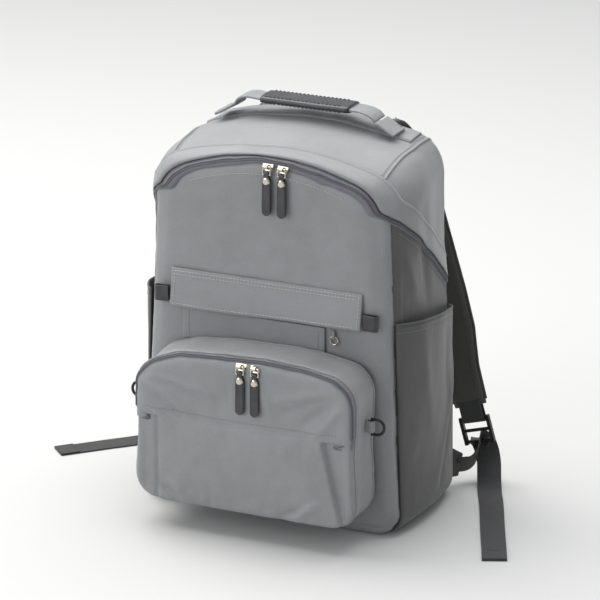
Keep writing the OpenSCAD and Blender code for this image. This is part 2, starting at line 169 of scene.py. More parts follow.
def textile(name, colour, roughness, thread=0.0006, weave=0.25, sheen=0.25, mottle=0.12, rib=None):
    """Woven cloth: crossed threads in the bump and a cloudy tone; rib adds ridges along one axis."""
    mat, tree, shader = new_material(name, colour, roughness)
    shader.inputs["Sheen Weight"].default_value = sheen
    shader.inputs["Sheen Roughness"].default_value = 0.4
    link = tree.links.new
    plain = mapped(tree, (1, 1, 1))
    cloud = add(tree, "ShaderNodeTexNoise", Scale=14.0, Detail=5.0, Roughness=0.6)
    link(plain, cloud.inputs["Vector"])
    fine = add(tree, "ShaderNodeTexNoise", Scale=420.0, Detail=3.0, Roughness=0.7)
    link(plain, fine.inputs["Vector"])
    both = add(tree, "ShaderNodeMath", operation="MULTIPLY_ADD")
    both.inputs[1].default_value = 0.45
    link(fine.outputs["Fac"], both.inputs[0])
    link(cloud.outputs["Fac"], both.inputs[2])
    ramp = add(tree, "ShaderNodeValToRGB")
    ramp.color_ramp.elements[0].position = 0.45
    ramp.color_ramp.elements[1].position = 1.0
    ramp.color_ramp.elements[0].color = (*[c * (1 - mottle) for c in colour], 1)
    ramp.color_ramp.elements[1].color = (*[min(1, c * (1 + mottle)) for c in colour], 1)
    link(both.outputs["Value"], ramp.inputs["Fac"])
    link(ramp.outputs["Color"], shader.inputs["Base Color"])
    heights = []
    for direction in ("X", "Y", "Z"):
        wave = add(tree, "ShaderNodeTexWave", wave_type="BANDS", bands_direction=direction, Distortion=0.6)
        wave.inputs["Scale"].default_value = 1 / thread / 6.28 * 2
        wave.inputs["Detail"].default_value = 1.0
        link(plain, wave.inputs["Vector"])
        heights.append(wave.outputs["Fac"])
    total = add(tree, "ShaderNodeMath", operation="ADD")
    link(heights[0], total.inputs[0])
    link(heights[2], total.inputs[1])
    deep = add(tree, "ShaderNodeMath", operation="ADD")
    link(total.outputs["Value"], deep.inputs[0])
    link(heights[1], deep.inputs[1])
    height = deep.outputs["Value"]
    bump = add(tree, "ShaderNodeBump", Strength=weave, Distance=0.0003)
    link(height, bump.inputs["Height"])
    crinkle = add(tree, "ShaderNodeTexNoise", Scale=70.0, Detail=4.0)
    link(plain, crinkle.inputs["Vector"])
    soft = add(tree, "ShaderNodeBump", Strength=0.12, Distance=0.004)
    link(crinkle.outputs["Fac"], soft.inputs["Height"])
    link(bump.outputs["Normal"], soft.inputs["Normal"])
    last = soft
    if rib:
        wave = add(tree, "ShaderNodeTexWave", wave_type="BANDS", bands_direction=rib[0])
        wave.inputs["Scale"].default_value = 1 / rib[1] / 6.28 * 2
        link(plain, wave.inputs["Vector"])
        last = add(tree, "ShaderNodeBump", Strength=0.6, Distance=0.0006)
        link(wave.outputs["Fac"], last.inputs["Height"])
        link(soft.outputs["Normal"], last.inputs["Normal"])
    link(last.outputs["Normal"], shader.inputs["Normal"])
    return mat


def leather_material():
    mat, tree, shader = new_material("leather", (0.022, 0.022, 0.027), 0.36)
    link = tree.links.new
    shader.inputs["Coat Weight"].default_value = 0.25
    shader.inputs["Coat Roughness"].default_value = 0.3
    where = mapped(tree, (1, 1, 1))
    grain = add(tree, "ShaderNodeTexVoronoi", Scale=1100.0)
    link(where, grain.inputs["Vector"])
    wear = add(tree, "ShaderNodeTexNoise", Scale=90.0, Detail=6.0)
    link(where, wear.inputs["Vector"])
    ramp = add(tree, "ShaderNodeValToRGB")
    ramp.color_ramp.elements[0].position = 0.35
    ramp.color_ramp.elements[0].color = (0.014, 0.014, 0.017, 1)
    ramp.color_ramp.elements[1].position = 0.75
    ramp.color_ramp.elements[1].color = (0.04, 0.04, 0.047, 1)
    link(wear.outputs["Fac"], ramp.inputs["Fac"])
    link(ramp.outputs["Color"], shader.inputs["Base Color"])
    rough = add(tree, "ShaderNodeMapRange")
    rough.inputs["To Min"].default_value = 0.28
    rough.inputs["To Max"].default_value = 0.5
    link(wear.outputs["Fac"], rough.inputs["Value"])
    link(rough.outputs["Result"], shader.inputs["Roughness"])
    bump = add(tree, "ShaderNodeBump", Strength=0.35, Distance=0.0003)
    link(grain.outputs["Distance"], bump.inputs["Height"])
    link(bump.outputs["Normal"], shader.inputs["Normal"])
    return mat


def hard_material(name, colour, roughness, metallic, scuff):
    mat, tree, shader = new_material(name, colour, roughness, metallic)
    link = tree.links.new
    where = mapped(tree, (1, 1, 1))
    marks = add(tree, "ShaderNodeTexNoise", Scale=260.0, Detail=6.0, Roughness=0.7)
    link(where, marks.inputs["Vector"])
    rough = add(tree, "ShaderNodeMapRange")
    rough.inputs["To Min"].default_value = roughness * (1 - scuff)
    rough.inputs["To Max"].default_value = min(1, roughness * (1 + scuff))
    link(marks.outputs["Fac"], rough.inputs["Value"])
    link(rough.outputs["Result"], shader.inputs["Roughness"])
    tone = add(tree, "ShaderNodeValToRGB")
    tone.color_ramp.elements[0].position = 0.3
    tone.color_ramp.elements[0].color = (*[c * (1 - 0.4 * scuff) for c in colour], 1)
    tone.color_ramp.elements[1].color = (*colour, 1)
    link(marks.outputs["Fac"], tone.inputs["Fac"])
    link(tone.outputs["Color"], shader.inputs["Base Color"])
    bump = add(tree, "ShaderNodeBump", Strength=0.1, Distance=0.0002)
    link(marks.outputs["Fac"], bump.inputs["Height"])
    link(bump.outputs["Normal"], shader.inputs["Normal"])
    return mat


SHELL = textile("shell", (0.225, 0.232, 0.238), 0.46)
# painted shade: the side panels, side pockets and strap anchor wings get this darker copy of the shell
# fabric, standing in for the shade on the sides turned away from the lights
SHADE_PAINTED_SHELL = textile("side", (0.066, 0.067, 0.064), 0.5)
TAPE = textile("tape", (0.15, 0.145, 0.17), 0.6, thread=0.0009, weave=0.5)
COIL = textile("coil", (0.12, 0.115, 0.14), 0.4, weave=0.1)
PIPING = textile("piping", (0.24, 0.242, 0.24), 0.5)
LINING = textile("lining", (0.1, 0.105, 0.11), 0.7)
FOAM = textile("foam", (0.5, 0.5, 0.48), 0.9, weave=0.1)
PAD = textile("pad", (0.052, 0.05, 0.046), 0.62, thread=0.0009, weave=0.5)
WEBBING = textile("webbing", (0.026, 0.026, 0.028), 0.55, thread=0.0011, weave=0.9, sheen=0.15)
THREAD = textile("thread", (0.27, 0.275, 0.28), 0.6, thread=0.0004, weave=0.4)
PALE_THREAD = textile("pale_thread", (0.52, 0.5, 0.46), 0.6, thread=0.0004, weave=0.4)
DARK_THREAD = textile("dark_thread", (0.03, 0.03, 0.035), 0.6, thread=0.0004, weave=0.4)
LEATHER = leather_material()
NICKEL = hard_material("nickel", (0.62, 0.58, 0.50), 0.22, 1.0, 0.4)
ENAMEL = hard_material("enamel", (0.02, 0.02, 0.022), 0.3, 0.3, 0.4)
ACETAL = hard_material("acetal", (0.012, 0.012, 0.013), 0.4, 0.0, 0.4)
BOARD = hard_material("board", (0.03, 0.03, 0.03), 0.6, 0.0, 0.4)


# ---- mesh helpers; points come in millimetres ----
def make_object(name, verts, faces, material, body, smooth=True):
    mesh = bpy.data.meshes.new(name)
    mesh.from_pydata([tuple(float(c) * MM for c in v) for v in verts], [], faces)
    mesh.update()
    obj = bpy.data.objects.new(name, mesh)
    bpy.context.scene.collection.objects.link(obj)
    mesh.materials.append(material)
    for p in mesh.polygons:
        p.use_smooth = smooth
    if body:
        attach(obj, body)
    return obj


def bake(obj):
    """Applies the modifiers by swapping in the evaluated mesh."""
    graph = bpy.context.evaluated_depsgraph_get()
    mesh = bpy.data.meshes.new_from_object(obj.evaluated_get(graph))
    obj.modifiers.clear()
    obj.data = mesh
    return obj


def thicken(obj, t, offset=-1.0, subdivide=0):
    mod = obj.modifiers.new("thick", "SOLIDIFY")
    mod.thickness = t * MM
    mod.offset = offset
    if subdivide:
        obj.modifiers.new("round", "SUBSURF").levels = subdivide
    return bake(obj)


def points_of(obj):
    co = np.empty(len(obj.data.vertices) * 3)
    obj.data.vertices.foreach_get("co", co)
    return co.reshape(-1, 3) / MM


def normals_of(obj):
    co = np.empty(len(obj.data.vertices) * 3)
    obj.data.vertices.foreach_get("normal", co)
    return co.reshape(-1, 3)


def set_points(obj, points):
    obj.data.vertices.foreach_set("co", (points * MM).ravel())
    obj.data.update()


def wavy(points, scale, seed):
    """Smooth noise from -1 to 1 at each point; scale is the size of a lump along x, y and z."""
    shift = Vector((seed * 7.3, seed * 3.1, seed * 5.7))
    return np.array([noise.noise(Vector(p) + shift) for p in points / np.array(scale)])


def bell(distance, width):
    return np.exp(-(distance / width) ** 2)


def step(x, low, high):
    t = np.clip((x - low) / (high - low), 0, 1)
    return t * t * (3 - 2 * t)


def fold(points, a, b, width, height):
    """A ridge, or a valley if height is negative, along the segment a to b, fading at its ends."""
    a, b = np.array(a, float), np.array(b, float)
    d = b - a
    t = np.clip((points - a) @ d / (d @ d), 0, 1)
    away = np.linalg.norm(points - (a + t[:, None] * d), axis=1)
    return height * bell(away, width) * np.sin(np.pi * np.clip(0.12 + 0.76 * t, 0, 1))


def grid_faces(rows, columns, wrap=False):
    faces = []
    for i in range(rows - 1):
        for j in range(columns if wrap else columns - 1):
            k = (j + 1) % columns
            faces.append((i * columns + j, i * columns + k, (i + 1) * columns + k, (i + 1) * columns + j))
    return faces


def smooth_path(points, count):
    """Points on a smooth curve through the given ones, evenly spaced."""
    p = np.array(points, float)
    fine = []
    for i in range(len(p) - 1):
        p0, p1, p2, p3 = p[max(i - 1, 0)], p[i], p[i + 1], p[min(i + 2, len(p) - 1)]
        for t in np.linspace(0, 1, 12, endpoint=False):
            fine.append(0.5 * (2 * p1 + (p2 - p0) * t + (2 * p0 - 5 * p1 + 4 * p2 - p3) * t * t
                               + (3 * p1 - p0 - 3 * p2 + p3) * t ** 3))
    fine.append(p[-1])
    return resample(np.array(fine), count)


def resample(points, count):
    gaps = np.linalg.norm(np.diff(points, axis=0), axis=1)
    along = np.concatenate([[0], np.cumsum(gaps)])
    want = np.linspace(0, along[-1], count)
    return np.stack([np.interp(want, along, points[:, k]) for k in range(3)], axis=1)


def path_frames(path, side):
    """Tangent, side and normal at each point of a path."""
    t = np.gradient(path, axis=0)
    t /= np.linalg.norm(t, axis=1)[:, None]
    s = np.broadcast_to(np.array(side, float), path.shape)
    s = s - t * (s * t).sum(1)[:, None]
    s /= np.linalg.norm(s, axis=1)[:, None]
    return t, s, np.cross(t, s)


def sweep(name, path, side, section, material, body, scale=None):
    """A closed section swept along a path. Its points are across and out; scale widens it on the way."""
    t, s, n = path_frames(path, side)
    scale = np.ones((len(path), 2)) if scale is None else np.array(scale)
    section = np.array(section, float)
    rings = [path[i] + np.outer(section[:, 0] * scale[i, 0], s[i]) + np.outer(section[:, 1] * scale[i, 1],
            n[i])
             for i in range(len(path))]
    m = len(section)
    faces = grid_faces(len(path), m, wrap=True)
    faces += [tuple(range(m))[::-1], tuple((len(path) - 1) * m + k for k in range(m))]
    return make_object(name, np.concatenate(rings), faces, material, body)


def oval(width, thick, power=2.6, count=28):
    a = np.linspace(0, 2 * math.pi, count, endpoint=False)
    c, s = np.cos(a), np.sin(a)
    return np.stack([np.sign(c) * np.abs(c) ** (2 / power) * width / 2,
                     np.sign(s) * np.abs(s) ** (2 / power) * thick / 2], axis=1)


def tube(name, path, radius, material, body, side=(0, 0.3, 1)):
    return sweep(name, np.array(path), side, oval(2 * radius, 2 * radius, 2, 10), material, body)


def stitches(name, path, normals, material, body, length=2.6, gap=1.1, radius=0.32):
    """A row of small threads that lie along a path."""
    gaps = np.linalg.norm(np.diff(path, axis=0), axis=1)
    along = np.concatenate([[0], np.cumsum(gaps)])
    count = int(along[-1] / (length + gap))
    at = lambda d, values: np.array([np.interp(d, along, values[:, k]) for k in range(3)])
    verts, faces = [], []
    ring = [(math.cos(a), math.sin(a)) for a in np.linspace(0, 2 * math.pi, 6, endpoint=False)]
    for i in range(count):
        start = i * (length + gap)
        a, b = at(start, path), at(start + length, path)
        n = at(start + length / 2, normals)
        n /= np.linalg.norm(n)
        d = (b - a) / np.linalg.norm(b - a)
        s = np.cross(d, n)
        base = len(verts)
        for share, size, lift in ((0, 0.35, -0.2), (0.2, 1, 0.15), (0.8, 1, 0.15), (1, 0.35, -0.2)):
            c = a + (b - a) * share + n * lift
            verts += [c + (s * u + n * v) * radius * size for u, v in ring]
        for k in range(3):
            for j in range(6):
                q = (j + 1) % 6
                faces.append((base + k * 6 + j, base + k * 6 + q, base + (k + 1) * 6 + q,
                        base + (k + 1) * 6 + j))
        faces += [tuple(base + j for j in range(6))[::-1], tuple(base + 18 + j for j in range(6))]
    return make_object(name, verts, faces, material, body)


def same(direction, line):
    """One normal repeated for every point of a line."""
    return np.tile(direction, (len(line), 1))


def field_line(obj, field, keep, key):
    """The line on a mesh where field is zero, with its normals. keep drops strays, key sorts points."""
    p, n = points_of(obj), normals_of(obj)
    edges = np.empty(len(obj.data.edges) * 2, int)
    obj.data.edges.foreach_get("vertices", edges)
    a, b = edges.reshape(-1, 2).T
    f = field(p)
    cross = (f[a] < 0) != (f[b] < 0)
    a, b = a[cross], b[cross]
    t = (f[a] / (f[a] - f[b]))[:, None]
    points, normals = p[a] + (p[b] - p[a]) * t, n[a] + (n[b] - n[a]) * t
    kept = keep(points)
    points, normals = points[kept], normals[kept]
    order = np.argsort(key(points))
    return points[order], normals[order], key(points)[order]


def even_line(obj, field, keep, key, keys, blur=3):
    """field_line resampled at the wanted key values and smoothed a little."""
    p, n, k = field_line(obj, field, keep, key)
    line = np.stack([np.interp(keys, k, p[:, i]) for i in range(3)], axis=1)
    normal = np.stack([np.interp(keys, k, n[:, i]) for i in range(3)], axis=1)
    for _ in range(blur):
        line[1:-1] = (line[:-2] + 2 * line[1:-1] + line[2:]) / 4
        normal[1:-1] = (normal[:-2] + 2 * normal[1:-1] + normal[2:]) / 4
    return line, normal / np.linalg.norm(normal, axis=1)[:, None]


def strip_on(name, lines, lifts, t, material, body):
    """A band of cloth over neighbouring surface lines, lifted off the surface by a distance per line."""
    count = len(lines[0][0])
    verts = np.concatenate([line + normal * lift for (line, normal), lift in zip(lines, lifts)])
    obj = make_object(name, verts, grid_faces(len(lines), count), material, None)
    thicken(obj, t, offset=0.0)
    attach(obj, body)
    return obj


# ---- body of the pack ----
def mix(a, b, t):
    return a + (b - a) * t


def arc(cx, cz, r, a0, a1, n):
    a = np.radians(np.linspace(a0, a1, n + 1))
    return np.stack([cx + r * np.sin(a), cz + r * np.cos(a)], axis=1)


def half_outline(half_w, foot_r, top_z, top_r, shoulder_r, turn):
    c1 = top_z - top_r
    c2x = math.sin(math.radians(turn)) * (top_r - shoulder_r)
    c2z = c1 + math.cos(math.radians(turn)) * (top_r - shoulder_r)
    return np.concatenate([[[0, 0]], arc(half_w - foot_r, foot_r, foot_r, 180, 90, 14),
                           arc(c2x, c2z, shoulder_r, 88, turn, 14), arc(0, c1, top_r, turn * 0.93, 0, 16)])


def closed(half):
    other = half[-2:0:-1] * np.array([-1, 1])
    return np.concatenate([half, other])


def edge_inset(d, r):
    return 0.0 if d >= r else r - math.sqrt(r * r - (r - d) ** 2)


def body_ring(d):
    depth = back_y - front_y
    v = d / depth
    inset = max(edge_inset(d, 14), edge_inset(depth - d, 18))
    e = 1 - (1 - v) ** 2
    half = half_outline(mix(140, 141, v), mix(24, 20, v), mix(front_h, body_h, e), mix(front_arch, 520, e),
                        mix(42, 38, e), mix(22, 11.5, e))
    p = closed(half)
    z = 190 + (p[:, 1] - 190) * (1 - inset / 190)
    x = p[:, 0] * (1 + (3 * math.sin(math.pi * v) - inset) / 140)
    return np.stack([x, mix(front_y, back_y, v) - back_lean * z * v, z], axis=1)


def loft_mesh(name, rings, voxel, smooth=4):
    """A closed lofted solid, rebuilt as an even mesh of small faces."""
    m = len(rings[0])
    faces = grid_faces(len(rings), m, wrap=True)
    faces += [tuple(range(m))[::-1], tuple((len(rings) - 1) * m + k for k in range(m))]
    obj = make_object(name, np.concatenate(rings), faces, SHELL, None)
    bm = bmesh.new()
    bm.from_mesh(obj.data)
    bmesh.ops.recalc_face_normals(bm, faces=bm.faces)
    bm.to_mesh(obj.data)
    bm.free()
    mod = obj.modifiers.new("even", "REMESH")
    mod.mode = "VOXEL"
    mod.voxel_size = voxel * MM
    mod.use_smooth_shade = True
    soften = obj.modifiers.new("soften", "SMOOTH")
    soften.factor = 0.5
    soften.iterations = smooth
    return bake(obj)


def zip_side(p):
    """Signed distance from the main zip, positive towards the top panel."""
    lower = (p[:, 1] - zip_y) * math.sin(slant) + (p[:, 2] - zip_turn_z) * math.cos(slant)
    return np.minimum(p[:, 1] - zip_y, lower)


def back_side(p):
    return p[:, 1] - (back_y - 9 - back_lean * p[:, 2])


def cut_planes(obj, planes):
    bm = bmesh.new()
    bm.from_mesh(obj.data)
    for point, normal in planes:
        bmesh.ops.bisect_plane(bm, geom=bm.verts[:] + bm.edges[:] + bm.faces[:], dist=1e-7,
                               plane_co=Vector(point) * MM, plane_no=Vector(normal))
    bm.to_mesh(obj.data)
    bm.free()


def split_faces(obj, label_of, makers):
    """New objects from the faces of obj, by the label of each face's centre."""
    count = len(obj.data.polygons)
    centres = np.empty(count * 3)
    obj.data.polygons.foreach_get("center", centres)
    labels = label_of(centres.reshape(-1, 3) / MM)
    polys = [tuple(p.vertices) for p in obj.data.polygons]
    points = points_of(obj)
    made = {}
    for label, (name, material, slot) in makers.items():
        used = [polys[i] for i in np.nonzero(labels == label)[0]]
        ids = sorted({v for f in used for v in f})
        index = {v: i for i, v in enumerate(ids)}
        faces = [tuple(index[v] for v in f) for f in used]
        made[label] = make_object(name, points[ids], faces, material, None)
    return made


def shape_body(obj):
    """Seam grooves, puckers, soft sag and folds on the body's cloth."""
    p, n = points_of(obj), normals_of(obj)
    x, y, z = p.T
    s = zip_side(p)
    below = s < 0
    seam = np.where(below, np.abs(y - seam_y), 1e3)
    back_seam = np.abs(back_side(p))
    foot = np.abs(z - foot_z)
    near = np.minimum(np.minimum(seam, back_seam), foot)
    out = -1.3 * bell(seam, 2.2) - 1.5 * bell(back_seam, 2.4) - 0.8 * bell(foot, 2.2)
    out += 0.9 * bell(seam - 6, 4) + 0.8 * bell(back_seam - 6, 4)
    out += 0.7 * wavy(p, (16, 22, 13), 1) * bell(near, 22)
    sunk = step(z, 4, 16)
    front = step(-n[:, 1], 0.6, 0.95)
    top = step(n[:, 2], 0.5, 0.9) * (z > 300)
    side = step(np.abs(n[:, 0]), 0.6, 0.95)
    out += sunk * 1.3 * wavy(p, (70, 70, 110), 2) + sunk * 0.5 * wavy(p, (26, 26, 40), 3)
    out += front * (1.4 * wavy(p, (42, 60, 150), 4) - 1.2 * bell(z - 300, 40))
    out += side * sunk * (1.8 * wavy(p, (60, 38, 90), 5))
    out += side * (fold(p, (140, -20, 330), (142, -6, 236), 9, -3.2) + fold(p, (-140, -20, 325),
            (-142, 0, 236), 9, -3))
    out += side * (fold(p, (140, -58, 300), (142, -30, 240), 8, 2.0) + fold(p, (140, 62, 150),
            (141, 20, 60), 8, -2.5))
    out += top * (1.6 * wavy(p, (60, 34, 60), 6) - 1.5 * bell(x + 30, 60) * bell(y + 20, 30))
    pleat = fold(p, (60, -40, 385), (128, 20, 372), 10, -2.0) + fold(p, (-120, -20, 368), (-60, 30, 392),
            10, -1.6)
    out += top * pleat
    moved = p + n * out[:, None]
    slump = step(-x, 60, 128) * step(z, 300, 372) * step(y, -62, 40)
    moved[:, 0] += 11 * slump
    moved[:, 2] -= 3 * slump
    return moved


def make_body():
    depth = back_y - front_y
    stations = np.unique(np.concatenate([14 * (1 - np.cos(np.linspace(0, math.pi / 2, 9))),
            np.linspace(14, depth - 18, 14),
                                         depth - 18 * (1 - np.cos(np.linspace(0, math.pi / 2, 9)))]))
    obj = loft_mesh("body_cloth", [body_ring(d) for d in stations], 3.0)
    planes = [((0, zip_y, 0), (0, 1, 0)), ((0, zip_y, zip_turn_z), (0, math.sin(slant), math.cos(slant))),
              ((0, seam_y, 0), (0, 1, 0)), ((0, 0, foot_z), (0, 0, 1)),
              ((0, back_y - 9, 0), (0, 1, back_lean))]
    cut_planes(obj, planes)
    set_points(obj, shape_body(obj))
    return obj


body = make_body()


def panel_label(c):
    label = np.full(len(c), 3)
    s = zip_side(c)
    label[(s < 0) & (c[:, 1] < seam_y)] = 1
    label[s > 0] = 2
    label[(label == 3) & (c[:, 0] < 0)] = 4
    label[back_side(c) > 0] = 5
    label[c[:, 2] < foot_z] = 6
    return label


# the side panels take the darker copy of the shell fabric, which is painted shade
panels = split_faces(body, panel_label, {
    1: ("front_cloth", SHELL, "shell_fabric"), 2: ("top_cloth", SHELL, "shell_fabric"),
    3: ("side_cloth_right", SHADE_PAINTED_SHELL, "side_fabric"), 4: ("side_cloth_left", SHADE_PAINTED_SHELL, "side_fabric"),
    5: ("back_cloth", SHELL, "shell_fabric"), 6: ("base_cloth", SHELL, "shell_fabric")})
stands_for = {1: "front_panel", 2: "top_panel", 3: "side_panel_right", 4: "side_panel_left",
        5: "back_panel", 6: "bottom_panel"}
for label, panel in panels.items():
    thicken(panel, 1.6)
    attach(panel, "pack")
    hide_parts(stands_for[label])


# ---- zip, flap, yoke and piping on the body ----
def over_top(p):
    return np.degrees(np.arctan2(p[:, 0], p[:, 2] - 150))


def zip_offset_line(s, count=300, edge=60.5):
    return even_line(body, lambda p: zip_side(p) - s, lambda p: (back_side(p) < -0.5) & (p[:, 2] > 225),
            over_top,
                     np.linspace(-edge, edge, count), blur=4)


flap_lines = [zip_offset_line(s) for s in (1, 4, 8, 12, 16, 19, 21)]
flap = strip_on("flap_cloth", flap_lines, (2.4, 2.3, 2.0, 1.7, 1.4, 1.2, 0.7), 1.2, SHELL, "pack")
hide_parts("zip_flap")
tape_lines = [zip_offset_line(s) for s in (-4.4, -3.0, -1.4, 0.6)]
tape = strip_on("main_tape", tape_lines, (0.5, 0.7, 0.9, 0.6), 0.7, TAPE, "pack")
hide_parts("main_zip")


def coil(name, line, normal, lift, body_name):
    """The zip's coil: two rows of close nylon loops."""
    across = np.cross(np.gradient(line, axis=0), normal)
    across /= np.linalg.norm(across, axis=1)[:, None]
    for sign, tag in ((-1, "a"), (1, "b")):
        rail = line + normal * lift + across * sign * 1.1
        stitches(name + "_" + tag, rail, normal, COIL, body_name, length=0.9, gap=0.35,
                radius=0.75)


coil("main_coil", *zip_offset_line(-2.2), 1.3, "pack")
line, normal = zip_offset_line(17.5)
stitches("zip_stitch_flap", line + normal * 1.95, normal, THREAD, "pack")
line, normal = even_line(body, lambda p: front_arch - 15 - np.hypot(p[:, 0], p[:, 2] - front_h + front_arch),
                         lambda p: (p[:, 1] < front_y + 5) & (p[:, 2] > 300), lambda p: p[:, 0],
                         np.linspace(-84, 84, 160), blur=2)
stitches("zip_stitch_front", line + normal * 0.25, normal, PALE_THREAD, "pack")
for sign, tag in ((-1, "left"), (1, "right")):
    line, normal = even_line(body, lambda p: zip_side(p) + 9,
            lambda p: (p[:, 0] * sign > 128) & (p[:, 1] > seam_y),
                             lambda p: p[:, 1], np.linspace(seam_y + 6, 62, 120), blur=2)
    stitches("zip_stitch_" + tag, line + normal * 0.25, normal, THREAD, "pack")

yoke_front = node_mm["back_yoke"][0][1]
yoke_lines = [even_line(body, lambda p, y=y: p[:, 1] - y, lambda p: p[:, 2] > 330, lambda p: p[:, 0],
                        np.linspace(-112, 112, 120)) for y in np.linspace(yoke_front, 50, 6)]
yoke = strip_on("yoke_cloth", yoke_lines, (0.4, 1.3, 1.4, 1.4, 1.3, 0.4), 0.9, SHELL, "pack")
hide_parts("back_yoke")
for k, tag in ((0, "front"), (5, "back")):
    line, normal = yoke_lines[k]
    inner = line + np.array([0, 3.0 if k == 0 else -3.0, 0])
    stitches("yoke_stitch_" + tag, inner + normal * 1.75, normal, THREAD, "pack")

for sign, tag in ((-1, "left"), (1, "right")):
    line, normal = even_line(body, lambda p, g=sign: p[:, 0] * g - (116 + (p[:, 1] + 30) * 0.05),
                             lambda p: (p[:, 2] > 320), lambda p: p[:, 1], np.linspace(zip_y + 20, 66, 70))
    pipe = tube("piping_" + tag, line + normal * 0.3, 1.5, PIPING, "pack")
    if sign > 0:
        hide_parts("corner_piping")
    inner = even_line(body, lambda p, g=sign: p[:, 0] * g - (112 + (p[:, 1] + 30) * 0.05),
                      lambda p: (p[:, 2] > 320), lambda p: p[:, 1], np.linspace(zip_y + 22, 64, 70))
    stitches("piping_stitch_" + tag, inner[0] + inner[1] * 0.3, inner[1], THREAD, "pack")

for o in (body,):
    bpy.data.objects.remove(o)

# ---- side pockets ----
def body_half_x(y, z):
    """How far the body's side is from the middle at a depth and height."""
    ring = body_ring(float(np.clip(y - front_y + back_lean * z * 0.5, 0.5, back_y - front_y - 0.5)))
    right = ring[:len(ring) // 2 + 1]
    return float(np.interp(z, right[2:34, 2], right[2:34, 0]))


def make_side_pocket(sign, tag):
    ys, vs = np.linspace(seam_y - 1, 63, 40), np.linspace(0, 1, 52)
    hem_at = lambda y: mix(223, 205, (y - seam_y) / 124) + 2.5 * math.sin((y - seam_y) / 124 * math.pi)
    rows = []
    for v in vs:
        row = []
        for y in ys:
            u = (y - ys[0]) / (ys[-1] - ys[0])
            z = mix(4, hem_at(y), v)
            puff = math.sin(math.pi * min(1, max(0, u))) ** 0.55
            gap = 0.8 + puff * mix(5.5, 10.5, v ** 0.8) - 1.6 * math.exp(-((z - 2) / 12) ** 2) * puff
            row.append([body_half_x(y, z) + gap, y, z])
        rows.append(row)
    p = np.array(rows).reshape(-1, 3)
    edge = np.minimum(1, (p[:, 1] - ys[0]) / 14) * np.minimum(1, (ys[-1] - p[:, 1]) / 14)
    p[:, 0] += edge * (1.3 * wavy(p, (50, 34, 60), 11) + 0.5 * wavy(p, (20, 16, 30), 12))
    p[:, 0] += fold(p, (146, 60, 150), (150, 0, 40), 8, 2.2) + fold(p, (146, 58, 120), (150, 10, 30), 6, -2.4)
    p[:, 0] += fold(p, (150, -40, 215), (150, -20, 110), 9, 1.8) + fold(p, (150, 20, 205), (150, 30, 120),
            8, -1.8)
    p[:, 0] *= sign
    # the pocket cloth and its edge use the darker copy of the shell fabric, painted shade on the side
    pocket = make_object("pocket_cloth_" + tag, p, grid_faces(len(vs), len(ys)), SHADE_PAINTED_SHELL, None)
    thicken(pocket, 1.4, offset=0.0)
    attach(pocket, "pack")
    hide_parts("side_pocket_" + tag)
    sheet = p.reshape(len(vs), len(ys), 3)
    out = np.array([sign, 0, 0.0])
    line = sheet[-3] + out * 0.9
    stitches("pocket_stitch_hem_" + tag, line, same(out, line), THREAD, "pack")
    roll = sheet[-1] + out * 0.1
    tube("pocket_edge_" + tag, roll, 1.1, SHADE_PAINTED_SHELL, "pack")


make_side_pocket(1, "right")
make_side_pocket(-1, "left")


# ---- pouch ----
pouch_edge = 13.0
hem_z = node_mm["pouch_front_pocket"][1][2]
crown = 4.0


def pouch_ring(d):
    depth_in = np.array([max(edge_inset(d, r), edge_inset(pouch_d - d, 5)) for r in (5.5, pouch_edge)])
    rings = []
    for g in -depth_in:
        half_w, z0, z1, r = pouch_half_w + g, pouch_lift - g, pouch_top_z + g, 30 + g / 2
        half = np.concatenate([[[0, z0]], arc(half_w - 24, z0 + 24, 24, 180, 90, 12),
                               arc(half_w - r, z1 - crown - r, r, 90, 8, 14), [[70, z1 - 1.2], [62, z1]]])
        rings.append(closed(half))
    high = step(rings[1][:, 1], 118, 160)[:, None]
    p = rings[0] * (1 - high) + rings[1] * high
    return np.stack([p[:, 0], np.full(len(p), pouch_front_y + d), p[:, 1]], axis=1)


def pleat_right(z):
    return mix(107, 87, (z - 30) / (hem_z - 30))


